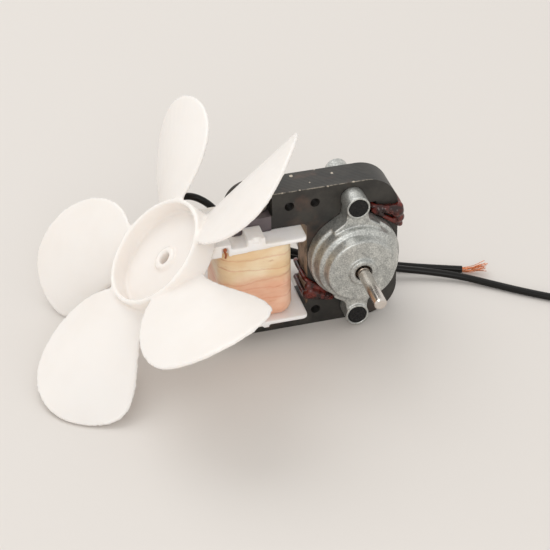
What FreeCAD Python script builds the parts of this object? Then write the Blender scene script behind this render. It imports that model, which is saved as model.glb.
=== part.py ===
import FreeCAD
import Part
import math
import os
import re

# Evaporator fan motor: an open C frame shaded pole motor that stands on its bottom edge,
# with its moulded five blade fan leaning on it.
# Millimetres. X runs along the frame from the coil to the rotor, -Y is the shaft side, +Z is up.
# The origin is under the shaft axis, in the middle of the lamination stack, on the surface below.
# Cutting tools run 1 mm past the solid that they cut.

os.makedirs("parts", exist_ok=True)
V = FreeCAD.Vector
doc = FreeCAD.newDocument("evaporator_fan_motor")
sheet = doc.addObject("Spreadsheet::Sheet", "sizes")

SIZES = [
    ("ear_spacing", 48.0, "distance between the two ears"),
    ("ear_inset", 6.5, "an ear to the nearest edge of the frame"),
    ("stack_height", "=ear_spacing + 2 * ear_inset", "height of the laminated frame"),
    ("stack_depth", 12.6, "thickness of the laminated frame"),
    ("stack_right", 18.0, "shaft axis to the rotor end of the frame"),
    ("stack_left", 46.0, "shaft axis to the coil end of the frame"),
    ("nose_radius", 12.9, "corner radius at the rotor end"),
    ("heel_radius", 4.0, "corner radius at the bottom of the coil end"),
    ("shoulder_radius", 9.6, "corner radius at the top of the coil end"),
    ("lower_arm", 9.5, "height of the lower arm"),
    ("upper_arm", 15.0, "height of the upper arm"),
    ("pole_reach", 17.4, "shaft axis to the window wall"),
    ("window_radius", 1.5, "corner radius of the window"),
    ("shaft_height", "=ear_inset + ear_spacing / 2", "shaft axis above the bottom edge"),
    ("bore_radius", 13.0, "rotor bore in the frame"),
    ("row_inset", 6.4, "hole rows to the top and bottom edges"),
    ("near_hole", 14.2, "shaft axis to the near holes"),
    ("far_hole", 24.0, "shaft axis to the far hole"),
    ("frame_hole_radius", 1.8, "open holes in the frame"),
    ("screw_way_radius", 2.1, "holes for the long screws"),
    ("core_width", 15.0, "width of the bar under the coil"),
    ("core_entry", 5.6, "depth that the bar enters the upper arm"),
    ("notch_gap", 0.5, "bar to the wall of the pocket above it"),
    ("pocket_depth", 5.0, "set back of the corner above the bar"),
    ("screw_inset", 3.0, "inner face of the bar to the small corner screw"),
    ("screw_drop", 6.7, "top edge to the small corner screw"),
    ("screw_head_radius", 2.5, "head of the corner screw"),
    ("screw_head_height", 1.5, "head of the corner screw"),
    ("screw_shank_radius", 1.5, "shank of the corner screw"),
    ("joint_gap", 0.1, "gap where one piece slips over another"),
    ("flange_outer", 18.9, "middle of the bar to a flange's outer edge"),
    ("flange_inner", 18.9, "middle of the bar to a flange's inner edge"),
    ("flange_front", 15.3, "half width of a bobbin flange along Y"),
    ("flange_thick", 1.5, "thickness of a bobbin flange"),
    ("flange_radius", 2.0, "corner radius of a bobbin flange"),
    ("sleeve_wall", 1.0, "wall of the bobbin round the bar"),
    ("tab_start", 3.8, "coil end of the bar to the terminal tab"),
    ("tab_width", 6.7, "width of the terminal tab"),
    ("tab_rise", 2.9, "height of the terminal tab above its flange"),
    ("tab_notch", 3.0, "width of the notch in the tab"),
    ("notch_depth", 1.2, "depth of that notch"),
    ("rib_start", 10.1, "coil end of the bar out to the slotted rib"),
    ("rib_width", 7.8, "width of the slotted rib"),
    ("rib_rise", 2.2, "height of the slotted rib above its flange"),
    ("rib_drop", 2.7, "depth of the slotted rib below the top of its flange"),
    ("rib_slot", 2.5, "width of the slot for the wire"),
    ("slot_inset", 1.1, "that slot to the inner end of the rib"),
    ("rib_back", 7.0, "shaft axis to the rear of the rib"),
    ("lip_thick", 1.2, "front lip of the upper flange"),
    ("lip_drop", 2.8, "depth of that lip at its deep end"),
    ("lip_end", 19.6, "coil end of the bar to the shallow end of the lip"),
    ("prong_width", 2.1, "width of a locating prong"),
    ("prong_spacing", 5.2, "spacing of the two prongs"),
    ("prong_thick", 1.6, "thickness of a prong"),
    ("prong_drop", 1.1, "fall of a prong below the lower arm's top"),
    ("prong_bar", 0.4, "fall of the bar between the prongs"),
    ("coil_side", 14.0, "half width of the taped coil along X"),
    ("coil_front", 14.0, "half width of the taped coil along Y"),
    ("coil_radius", 6.0, "corner radius of the taped coil"),
    ("coil_tuck", 4.6, "rounding of the taped coil's lower end"),
    ("tape_thick", 0.6, "thickness of the tape wrap"),
    ("bracket_radius", 17.4, "base circle of a bearing bracket"),
    ("bracket_base", 4.7, "height of the base circle"),
    ("bracket_step_radius", 15.5, "second step of a bracket"),
    ("bracket_step", 9.5, "height of the second step"),
    ("bracket_face_radius", 13.0, "end face of a bracket"),
    ("bracket_face", 14.1, "height of the end face"),
    ("step_foot", 0.7, "spread of the second step at its foot"),
    ("step_lift", 0.9, "base circle to that foot"),
    ("face_foot", 0.8, "spread and rise of the slope under the end face"),
    ("edge_round", 0.9, "rounding of a bracket's outer edges"),
    ("edge_break", 0.5, "rounding of its inner corners and small edges"),
    ("boss_radius", 5.1, "raised ring round the shaft hole"),
    ("boss_foot", 0.5, "spread of that ring at its foot"),
    ("boss_rise", 1.4, "rise of that ring above the end face"),
    ("shaft_hole_radius", 3.15, "hole in the front bracket"),
    ("blind_radius", 2.9, "closed hole in the rear bracket"),
    ("cap_thick", 1.2, "wall that closes the rear bracket"),
    ("room_radius", 13.2, "rotor room in a bracket"),
    ("room_depth", 4.0, "depth of the rotor room"),
    ("shelf_step", 0.6, "spring washer's seat to the edge of the felt room"),
    ("shelf_width", 1.4, "width of the shelf under the spring washer"),
    ("felt_gap", 0.3, "oil felt to the wall of its room"),
    ("throat_gap", 0.4, "end of a bearing to the end of its socket"),
    ("ear_radius", 4.5, "radius of an ear post"),
    ("ear_height", 8.45, "height of an ear post"),
    ("web_width", 9.0, "half width of the web where it leaves the base circle"),
    ("web_height", 7.6, "height of the web between ear and base"),
    ("web_inset", 0.7, "side of an ear post to the side of its web"),
    ("web_sink", 2.0, "run of the web into the base circle"),
    ("neck_spread", 0.6, "spread of the web between ear and base circle"),
    ("neck_rise", 0.5, "base circle to the corner of that spread"),
    ("neck_radius", 3.0, "radius of that corner"),
    ("head_radius", 3.55, "head of a frame screw"),
    ("head_height", 1.5, "head of a frame screw"),
    ("frame_screw_radius", 1.9, "shank of a frame screw"),
    ("screw_short", 1.6, "end of a frame screw to the rear of its ear"),
    ("thread_gap", 0.02, "gap round a thread and in a thrust washer"),
    ("slight_gap", 0.05, "gap round the corner screw and at a bearing's end"),
    ("shaft_radius", 2.38, "radius of the shaft"),
    ("shaft_reach", 36.2, "front face of the frame to the tip of the shaft"),
    ("shaft_chamfer", 0.6, "chamfer at the tip"),
    ("groove_depth", 0.2, "oil stop groove where the shaft leaves the bracket"),
    ("groove_width", 0.8, "width of that groove"),
    ("running_gap", 0.03, "radial clearance of the shaft in its bearings"),
    ("bearing_radius", 4.6, "ball shaped bearing, outside"),
    ("bearing_length", 7.0, "length of a bearing"),
    ("bearing_land", 0.4, "straight land at each end of a bearing"),
    ("bearing_centre", 9.4, "face of the frame to the middle of a bearing"),
    ("felt_radius", 8.4, "oil felt, outside"),
    ("felt_thick", 2.4, "oil felt, thickness"),
    ("felt_bore_gap", 0.15, "bearing to the felt round it"),
    ("retainer_thick", 0.5, "spring washer that holds the bearing"),
    ("retainer_rim", 1.5, "edge of the felt to the rim of the spring washer"),
    ("retainer_lip", 1.6, "shaft to the inner lip of the spring washer"),
    ("retainer_seat", 6.2, "face of the frame to the inside of the spring washer"),
    ("rotor_radius", 12.65, "radius of the rotor"),
    ("ring_height", 2.4, "height of a rotor end ring"),
    ("ring_inset", 0.6, "edge of the rotor to the edge of an end ring"),
    ("ring_bore", 7.5, "bore of a rotor end ring"),
    ("bar_radius", 1.1, "radius of a rotor bar"),
    ("bar_circle", 10.9, "radius of the circle of rotor bars"),
    ("bar_count", 12, "number of rotor bars"),
    ("bar_run", 0.5, "run of a bar into each end ring"),
    ("shaft_tail", 0.2, "run of the shaft past its rear bearing"),
    ("washer_radius", 4.2, "thrust washer, outside"),
    ("washer_thick", 0.8, "thrust washer, thickness"),
    ("shading_radius", 0.95, "radius of the copper shading wire"),
    ("shading_bend", 1.2, "bend radius of the shading wire"),
    ("shading_inner", 7.9, "shaft axis to the inner legs of the shading rings"),
    ("shading_stagger", 0.6, "set over of the second inner leg"),
    ("shading_rise", 19.2, "shaft axis to the first inner leg, upwards"),
    ("shading_pitch", 2.1, "spacing of the inner legs"),
    ("shading_drop", 2.4, "fall of the first ring from its inner to its outer leg"),
    ("shading_lift", 4.2, "lower arm to the first outer leg"),
    ("shading_spread", 7.8, "spacing of the outer legs"),
    ("slot_half_width", 1.6, "half width of the slot for the rings"),
    ("slot_half_height", 2.3, "half height of that slot"),
    ("lead_radius", 1.4, "radius of a lead over its insulation"),
    ("strand_radius", 0.13, "radius of one copper strand"),
    ("strand_length", 10.0, "bare length of the strands"),
    ("strand_count", 7, "number of strands, one in the middle"),
    ("strand_pitch", 0.45, "middle of a lead to its outer strands"),
    ("strand_flare", 2.4, "sideways spread of the strands' tips"),
    ("strand_lift", 1.6, "rise of the strands' tips"),
    ("strand_sag", 0.32, "fall of the lower tips"),
    ("fan_out", 18.1, "edge of the bobbin to the middle of the cup's rim"),
    ("fan_side", 5.6, "shaft axis to the middle of the cup's rim"),
    ("fan_low", 0.95, "top of the bobbin down to the middle of the cup's rim"),
    ("fan_lean", 47.6, "rise of the fan's axis above the table, degrees"),
    ("fan_yaw", 5.3, "turn of the fan's axis about +Z, degrees"),
    ("fan_spin", 215.9, "turn of the first blade about the fan's axis, degrees"),
    ("hub_radius", 21.8, "cup of the fan, outside"),
    ("hub_wall", 1.8, "wall of the cup"),
    ("cup_depth", 6.9, "depth of the cup"),
    ("floor_thick", 1.8, "floor of the cup"),
    ("hub_height", 10.4, "height of the hub"),
    ("hub_boss_radius", 4.6, "boss round the fan's bore"),
    ("hub_boss_front", 1.2, "rise of the boss in the cup"),
    ("hub_boss_rear", 5.5, "length of the boss behind the hub"),
    ("hub_bore_radius", 2.38, "bore of the fan"),
    ("blade_thick", 1.5, "thickness of a blade"),
    ("blade_count", 5, "number of blades"),
    ("blade_reach", 67.9, "fan axis to the outer end of a blade"),
    ("root_radius", 18.6, "fan axis to the root of a blade, inside the cup's wall"),
    ("root_lead", 8.1, "middle of a blade to the leading end of its root"),
    ("root_trail", 8.6, "middle of a blade to the trailing end of its root"),
    ("lead_inner_radius", 33.3, "inner bulge of the leading edge"),
    ("lead_inner_width", 20.0, "inner bulge of the leading edge"),
    ("lead_outer_radius", 52.7, "outer bulge of the leading edge"),
    ("lead_outer_width", 19.6, "outer bulge of the leading edge"),
    ("tip_setback", 0.9, "fall of the tip at its leading end"),
    ("tip_lead_width", 4.9, "leading end of the tip"),
    ("tip_trail_width", 11.4, "trailing end of the tip"),
    ("trail_outer_radius", 59.5, "outer bulge of the trailing edge"),
    ("trail_outer_width", 21.2, "outer bulge of the trailing edge"),
    ("trail_inner_radius", 34.0, "hollow of the trailing edge"),
    ("trail_inner_width", 13.6, "hollow of the trailing edge"),
    ("blade_drop", 4.3, "rim plane to the middle of a blade's root"),
    ("twist_middle", 40.0, "radius with the plain slope"),
    ("twist_span", 30.0, "radius over which the twist is given"),
    ("camber_span", 30.0, "width over which the camber is given"),
    ("patch_start", "=0.8 * root_radius", "inner end of the blade's sheet before trimming"),
    ("patch_end", "=1.08 * blade_reach", "outer end of that sheet"),
    ("patch_half", "=0.42 * blade_reach", "half width of that sheet"),
    ("blade_slope", -0.40, "rise across a blade for each millimetre"),
    ("blade_twist", -0.147, "share by which that rise changes along the twist's span"),
    ("blade_camber", -0.31, "curve across a blade"),
    ("blade_cone", 0.108, "rise along a blade for each millimetre"),
]
for row, (alias, size, note) in enumerate(SIZES, start=1):
    sheet.set("A%d" % row, alias)
    sheet.set("B%d" % row, str(size))
    sheet.set("C%d" % row, note)
    sheet.setAlias("B%d" % row, alias)
doc.recompute()

WORD = re.compile(r"\b(" + "|".join(name for name, _, _ in SIZES) + r")\b")
kept = []


def size(alias):
    return float(getattr(sheet, alias))


def bind(thing, **formulas):
    for prop, formula in formulas.items():
        thing.setExpression(prop.replace("__", "."), WORD.sub(r"sizes.\1", formula))
    return thing


def put(thing, x="0", y="0", z="0", turn=None):
    if turn is not None:
        thing.Placement = FreeCAD.Placement(V(), turn)
    bind(thing, Placement__Base__x=x, Placement__Base__y=y, Placement__Base__z=z)
    return thing


def keep(thing, label):
    thing.Label = label
    kept.append(thing)
    return thing


def box(name, x0, x1, y0, y1, z0, z1):
    made = doc.addObject("Part::Box", name)
    bind(made, Length="(%s) - (%s)" % (x1, x0), Width="(%s) - (%s)" % (y1, y0),
         Height="(%s) - (%s)" % (z1, z0))
    return put(made, x0, y0, z0)


TO_BACK = FreeCAD.Rotation(V(1, 0, 0), -90)


def rod(name, radius, length, x="0", y="0", z="0", turn=TO_BACK):
    made = doc.addObject("Part::Cylinder", name)
    bind(made, Radius=radius, Height=length)
    return put(made, x, y, z, turn)


def cut(name, base, tool):
    made = doc.addObject("Part::Cut", name)
    made.Base = base
    made.Tool = tool
    return made


def fuse(name, shapes):
    made = doc.addObject("Part::MultiFuse", name)
    made.Shapes = shapes
    made.Refine = True
    return made


def short_arc(centre, first, last):
    # The arc of less than half a turn from one point to the other about a centre.
    start = math.atan2(first.y - centre.y, first.x - centre.x)
    end = math.atan2(last.y - centre.y, last.x - centre.x)
    if (end - start) % (2 * math.pi) > math.pi:
        start, end = end, start
    circle = Part.Circle(centre, V(0, 0, 1), (first - centre).Length)
    return Part.ArcOfCircle(circle, start, start + (end - start) % (2 * math.pi))


def rounded(points):
    # Edges of a closed outline; each point is x, y and the radius of its corner.
    count = len(points)
    starts = []
    ends = []
    arcs = []
    for i, (px, py, radius) in enumerate(points):
        here = V(px, py, 0)
        before = V(points[i - 1][0], points[i - 1][1], 0) - here
        after = V(points[(i + 1) % count][0], points[(i + 1) % count][1], 0) - here
        before.normalize()
        after.normalize()
        half = before.getAngle(after) / 2
        back = radius / math.tan(half)
        first = here + before * back
        last = here + after * back
        if radius > 0:
            bisector = (before + after).normalize()
            arcs.append(short_arc(here + bisector * (radius / math.sin(half)), first, last))
        else:
            arcs.append(None)
        starts.append(first)
        ends.append(last)
    edges = []
    for i in range(count):
        if arcs[i] is not None:
            edges.append(arcs[i])
        following = starts[(i + 1) % count]
        if (following - ends[i]).Length > 1e-6:
            edges.append(Part.LineSegment(ends[i], following))
    return edges


ORIGIN_PLANES = {"XY": "XY_Plane", "XZ": "XZ_Plane", "YZ": "YZ_Plane"}


def sketch_in(body, name, plane, edges):
    sketch = body.newObject("Sketcher::SketchObject", name)
    for feature in body.Origin.OriginFeatures:
        if feature.Role == ORIGIN_PLANES[plane]:
            sketch.AttachmentSupport = [(feature, "")]
    sketch.MapMode = "FlatFace"
    for edge in edges:
        sketch.addGeometry(edge, False)
    return sketch


def pad(name, plane, edges, length):
    # A profile pushed out to both sides of its plane.
    body = doc.addObject("PartDesign::Body", name)
    sketch = sketch_in(body, name + "_outline", plane, edges)
    feature = body.newObject("PartDesign::Pad", name + "_pad")
    feature.Profile = sketch
    feature.SideType = "Symmetric"
    bind(feature, Length=length)
    return body


def turned(name, points):
    # A profile of radius and distance from the front, turned about the shaft axis.
    body = doc.addObject("PartDesign::Body", name)
    sketch = sketch_in(body, name + "_profile", "XY", rounded(points))
    feature = body.newObject("PartDesign::Revolution", name + "_turn")
    feature.Profile = sketch
    feature.ReferenceAxis = (sketch, ["V_Axis"])
    feature.Angle = 360
    return body


def feature(name, shape):
    made = doc.addObject("Part::Feature", name)
    made.Shape = shape
    return made


def ring_path(corners, bend):
    # A closed loop of straight runs and tangent arcs through the given corners.
    edges = []
    count = len(corners)
    ends = []
    starts = []
    for i, here in enumerate(corners):
        before = (corners[i - 1] - here).normalize()
        after = (corners[(i + 1) % count] - here).normalize()
        half = before.getAngle(after) / 2
        first = here + before * (bend / math.tan(half))
        last = here + after * (bend / math.tan(half))
        bisector = (before + after).normalize()
        middle = here + bisector * (bend / math.sin(half) - bend)
        starts.append(first)
        ends.append(last)
        edges.append(Part.Arc(first, middle, last).toShape())
    for i in range(count):
        edges.append(Part.LineSegment(ends[i], starts[(i + 1) % count]).toShape())
    return Part.Wire(Part.__sortEdges__(edges))


def tube_along(wire, radius):
    start = wire.OrderedEdges[0]
    point = start.valueAt(start.FirstParameter)
    along = start.tangentAt(start.FirstParameter)
    section = Part.Wire([Part.Circle(point, along, radius).toShape()])
    return wire.makePipeShell([section], True, True)


CORE_TOP = "stack_height - upper_arm + core_entry"
SCREW_X = "-stack_left + core_width - screw_inset"
SCREW_Z = "stack_height - screw_drop"


# Laminated frame: a C of steel sheets with the rotor bore, three plain holes and the screw holes.
def make_frame():
    left = -size("stack_left")
    right = size("stack_right")
    high = size("stack_height")
    outline = rounded([
        (left, 0, size("heel_radius")),
        (right, 0, size("nose_radius")),
        (right, high, size("nose_radius")),
        (left, high, size("shoulder_radius")),
        (left, high - size("upper_arm"), 0),
        (-size("pole_reach"), high - size("upper_arm"), size("window_radius")),
        (-size("pole_reach"), size("lower_arm"), size("window_radius")),
        (left, size("lower_arm"), 0),
    ])
    whole = pad("frame_blank", "XZ", outline, "stack_depth")
    deep = "stack_depth + 2"
    front = "-stack_depth / 2 - 1"
    row = "stack_height - row_inset"
    tools = [
        rod("rotor_bore", "bore_radius", deep, "0", front, "shaft_height"),
        rod("near_hole_top", "frame_hole_radius", deep, "-near_hole", front, row),
        rod("far_hole_top", "frame_hole_radius", deep, "-far_hole", front, row),
        rod("near_hole_low", "frame_hole_radius", deep, "-near_hole", front, "row_inset"),
        rod("ear_hole_top", "screw_way_radius", deep, "0", front, "stack_height - ear_inset"),
        rod("ear_hole_low", "screw_way_radius", deep, "0", front, "ear_inset"),
        rod("corner_screw_hole", "screw_shank_radius", deep, SCREW_X, front, SCREW_Z),
        box("core_notch", "-stack_left - 1", "-stack_left + core_width", front,
            "stack_depth / 2 + 1", "stack_height - upper_arm - 1", CORE_TOP),
        box("corner_pocket", "-stack_left - 1", "-stack_left + core_width + notch_gap", front,
            "-stack_depth / 2 + pocket_depth", CORE_TOP, "stack_height + 1"),
    ]
    for side in (1, -1):
        tools.append(box(
            "shading_slot_%s" % ("top" if side > 0 else "low"),
            "%d * shading_inner - slot_half_width" % side,
            "%d * shading_inner + slot_half_width" % side, front, "stack_depth / 2 + 1",
            "shaft_height + %d * (shading_rise - shading_pitch / 2) - slot_half_height" % side,
            "shaft_height + %d * (shading_rise - shading_pitch / 2) + slot_half_height" % side))
    keep(cut("frame", whole, fuse("frame_holes", tools)), "stator_laminations")


# Bar of laminations that carries the coil and closes the magnetic path.
def make_core():
    keep(box("core", "-stack_left", "-stack_left + core_width", "-stack_depth / 2",
             "stack_depth / 2", "lower_arm", CORE_TOP), "coil_core_laminations")


# Moulded bobbin: sleeve, two flanges, a terminal tab, a slotted rib, a front lip and two prongs.
def make_bobbin():
    middle = -size("stack_left") + size("core_width") / 2
    left = middle - size("flange_outer")
    right = middle + size("flange_inner")
    front = size("flange_front")
    radius = size("flange_radius")
    plate = [(left, -front, radius), (right, -front, radius),
             (right, front, radius), (left, front, radius)]
    roof = "stack_height - upper_arm - joint_gap"
    low = put(pad("low_flange", "XY", rounded(plate), "flange_thick"),
              z="lower_arm + flange_thick / 2")
    top = put(pad("top_flange", "XY", rounded(plate), "flange_thick"),
              z=roof + " - flange_thick / 2")
    wall = "sleeve_wall + joint_gap"
    sleeve = box("sleeve", "-stack_left - (%s)" % wall, "-stack_left + core_width + " + wall,
                 "-stack_depth / 2 - (%s)" % wall, "stack_depth / 2 + " + wall,
                 "lower_arm + flange_thick / 2", roof + " - flange_thick / 2")
    face = "-flange_front"
    tab = box("terminal_tab", "-stack_left + tab_start", "-stack_left + tab_start + tab_width",
              face, "-stack_depth / 2 - joint_gap", roof + " - flange_thick", roof + " + tab_rise")
    rib_sides = ["-stack_left - rib_start", "-stack_left - rib_start + rib_width"]
    rib = box("slotted_rib", *rib_sides, face, "-rib_back", roof + " - flange_thick",
              roof + " + rib_rise")
    brow = box("slotted_rib_face", *rib_sides, face, face + " + lip_thick", roof + " - rib_drop",
               roof)
    high = size("stack_height") - size("upper_arm") - size("joint_gap")
    lip_left = -size("stack_left") - size("rib_start") + size("rib_width") / 2
    lip_right = -size("stack_left") + size("lip_end")
    thin = size("flange_thick")
    edge = rounded([(lip_left, high - size("lip_drop"), 0), (lip_right, high - thin, 0),
                    (lip_right, high - thin / 2, 0), (lip_left, high - thin / 2, 0)])
    lip = put(pad("front_lip", "XZ", edge, "lip_thick"), y=face + " + lip_thick / 2")
    feet = [box("prong_bar_solid", "-stack_left + tab_start + joint_gap",
                "-stack_left + tab_start + joint_gap + prong_spacing + prong_width",
                face + " + joint_gap", face + " + prong_thick", "lower_arm - prong_bar",
                "lower_arm + flange_thick / 2")]
    for i in range(2):
        start = "-stack_left + tab_start + joint_gap + %d * prong_spacing" % i
        feet.append(box("prong_%d" % i, start, start + " + prong_width", face + " + joint_gap",
                        face + " + prong_thick", "lower_arm - prong_drop",
                        "lower_arm + flange_thick / 2"))
    body = fuse("bobbin_solid", [low, top, sleeve, tab, rib, brow, lip] + feet)
    bore = box("bobbin_bore", "-stack_left - joint_gap", "-stack_left + core_width + joint_gap",
               "-stack_depth / 2 - joint_gap", "stack_depth / 2 + joint_gap", "0",
               "stack_height")
    slot_start = "-stack_left - rib_start + rib_width - slot_inset - rib_slot"
    slot = box("rib_slot_cut", slot_start, slot_start + " + rib_slot", face + " - 1",
               face + " + notch_depth", roof + " - rib_drop - 1", roof + " + rib_rise / 2")
    notch_start = "-stack_left + tab_start + (tab_width - tab_notch) / 2"
    notch = box("tab_notch_cut", notch_start, notch_start + " + tab_notch", face + " - 1",
                face + " + notch_depth", roof + " + tab_rise / 3", roof + " + tab_rise + 1")
    keep(cut("bobbin", body, fuse("bobbin_cuts", [bore, slot, notch])), "coil_bobbin")


def coil_outline(inset):
    middle = -size("stack_left") + size("core_width") / 2
    side = size("coil_side") - inset
    front = size("coil_front") - inset
    radius = size("coil_radius") - inset
    return rounded([(middle - side, -front, radius), (middle + side, -front, radius),
                    (middle + side, front, radius), (middle - side, front, radius)])


def tucked(name, base, level, radius):
    # The same solid with the edges of its lower end rounded.
    doc.recompute()
    made = doc.addObject("Part::Fillet", name)
    made.Base = base
    chosen = []
    for i, edge in enumerate(base.Shape.Edges, start=1):
        ends = [vertex.Point.z for vertex in edge.Vertexes]
        if max(abs(z - level) for z in ends) < 1e-4:
            chosen.append((i, radius, radius))
    made.Edges = chosen
    return made


# Magnet wire wound on the bobbin, and the tape wrapped round it and tucked in below.
def make_coil():
    gap = size("joint_gap")
    bottom = size("lower_arm") + size("flange_thick") + gap
    top = size("stack_height") - size("upper_arm") - size("flange_thick") - 2 * gap
    tape = size("tape_thick")
    tuck = size("coil_tuck")
    inside = tape + gap
    sleeve = box("coil_hole", "-stack_left - sleeve_wall - 2 * joint_gap",
                 "-stack_left + core_width + sleeve_wall + 2 * joint_gap",
                 "-stack_depth / 2 - sleeve_wall - 2 * joint_gap",
                 "stack_depth / 2 + sleeve_wall + 2 * joint_gap", "0", "stack_height")
    blanks = {}
    for name, inset, low, high in (("tape", 0, bottom, top), ("hollow", tape, bottom + tape, top + 1),
                                   ("winding", inside, bottom + inside, top)):
        blank = pad(name + "_blank", "XY", coil_outline(inset), "%.6f" % (high - low))
        put(blank, z="%.6f" % ((low + high) / 2))
        blanks[name] = tucked(name + "_tucked", blank, low, tuck - inset)
    keep(cut("winding", blanks["winding"], sleeve), "coil_winding")
    keep(cut("tape", blanks["tape"], fuse("tape_inside", [blanks["hollow"], sleeve])),
         "coil_tape_wrap")


# Copper shading rings: two closed loops at each shaded pole tip, through the slot and round the edge.
def make_shading():
    deep = size("stack_depth") / 2 + size("shading_radius") + size("joint_gap")
    for side, name in ((1, "upper"), (-1, "lower")):
        edge = size("stack_right") if side > 0 else size("pole_reach")
        outer = side * (edge + size("shading_radius") + size("joint_gap"))
        for i in range(2):
            inner = side * (size("shading_inner") + (i - 0.5) * size("shading_stagger"))
            rise = size("shading_rise") - i * size("shading_pitch")
            near = size("shaft_height") + side * rise
            far = size("lower_arm") + size("shading_lift")
            if side > 0:
                far = size("shaft_height") + size("shading_rise") - size("shading_drop")
            far -= side * i * size("shading_spread")
            corners = [V(inner, -deep, near), V(outer, -deep, far),
                       V(outer, deep, far), V(inner, deep, near)]
            path = ring_path(corners, size("shading_bend"))
            shape = tube_along(path, size("shading_radius"))
            keep(feature("shading_%s_%d" % (name, i), shape),
                 "shading_ring_%s_%d" % (name, i + 1))


# Die cast bearing bracket: stepped dome, two screw ears on webs, and a hollow for bearing and felt.
def make_bracket(name, front):
    base = size("bracket_radius")
    step = size("bracket_step_radius")
    face = size("bracket_face_radius")
    room = size("room_radius")
    deep = size("room_depth")
    high = size("bracket_face")
    rise = high + size("boss_rise")
    boss = size("boss_radius")
    seat = size("bearing_centre")
    # The hollow narrows in steps: rotor room, the spring washer's shelf, the felt room, the socket.
    shelf = size("retainer_seat") + size("shelf_step")
    felt = size("felt_radius") + size("felt_gap")
    washer = felt + size("shelf_width")
    socket = size("bearing_radius") + size("joint_gap")
    hole = size("shaft_hole_radius") if front else size("blind_radius")
    throat = seat + size("bearing_length") / 2 + size("throat_gap")
    ledge = size("bracket_base")
    bench = size("bracket_step")
    slope = size("face_foot")
    soft = size("edge_round")
    crisp = size("edge_break")
    outer = [
        (room, 0, 0), (base, 0, 0), (base, ledge, soft),
        (step + size("step_foot"), ledge + size("step_lift"), crisp), (step, bench, soft),
        (face + slope, bench + slope, crisp), (face, high, soft),
        (boss + size("boss_foot"), high, crisp), (boss, rise, crisp),
    ]
    if front:
        closing = [(hole, rise, crisp), (hole, throat, 0)]
    else:
        cap = rise - size("cap_thick")
        closing = [(0, rise, 0), (0, cap, 0), (hole, cap, 0), (hole, throat, 0)]
    roof = shelf + size("felt_thick")
    inner = [(socket, throat, 0), (socket, roof, 0), (felt, roof, 0), (felt, shelf, 0),
             (washer, shelf, 0), (washer, deep, 0), (room, deep, 0)]
    dome = turned(name + "_dome", outer + closing + inner)
    sign = -1 if front else 1
    turn = FreeCAD.Rotation(V(1, 0, 0), 180 if front else 0)
    put(dome, y="%d * stack_depth / 2" % sign, z="shaft_height",
        turn=turn)
    ears = []
    holes = []
    half = size("ear_spacing") / 2
    for up in (1, -1):
        tag = "%s_%s" % (name, "top" if up > 0 else "low")
        centre = "shaft_height + %d * ear_spacing / 2" % up
        start = "stack_depth / 2" if not front else "-stack_depth / 2 - ear_height"
        ears.append(rod(tag + "_ear", "ear_radius", "ear_height", "0", start, centre))
        wide = size("web_width")
        narrow = size("ear_radius") - size("web_inset")
        root = math.sqrt(base ** 2 - wide ** 2)
        z0 = size("shaft_height")
        neck = narrow + size("neck_spread")
        bend = z0 + up * (base + size("neck_rise"))
        curve = size("neck_radius")
        sunk = root - size("web_sink")
        web = [(-wide, z0 + up * sunk, 0), (wide, z0 + up * sunk, 0),
               (wide, z0 + up * root, 0), (neck, bend, curve),
               (narrow, z0 + up * half, 0), (-narrow, z0 + up * half, 0),
               (-neck, bend, curve), (-wide, z0 + up * root, 0)]
        plate = pad(tag + "_web", "XZ", rounded(web), "web_height")
        ears.append(put(plate, y="%d * (stack_depth / 2 + web_height / 2)" % sign))
        if front:
            holes.append(rod(tag + "_screw_way", "screw_way_radius", "ear_height + 2", "0",
                             "-stack_depth / 2 - ear_height - 1", centre))
            holes.append(rod(tag + "_head_seat", "head_radius + joint_gap", "head_height + 1",
                             "0", "-stack_depth / 2 - ear_height - 1", centre))
        else:
            holes.append(rod(tag + "_thread", "frame_screw_radius + thread_gap",
                             "ear_height + 2",
                             "0", "stack_depth / 2 - 1", centre))
    inside = turned(name + "_hollow", [(0, -1, 0), (room, -1, 0), (room, deep, 0),
                                       (washer, deep, 0), (washer, shelf, 0), (0, shelf, 0)])
    put(inside, y="%d * stack_depth / 2" % sign, z="shaft_height", turn=turn)
    body = fuse(name + "_solid", [dome] + ears)
    keep(cut(name, body, fuse(name + "_cuts", holes + [inside])), name)


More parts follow.
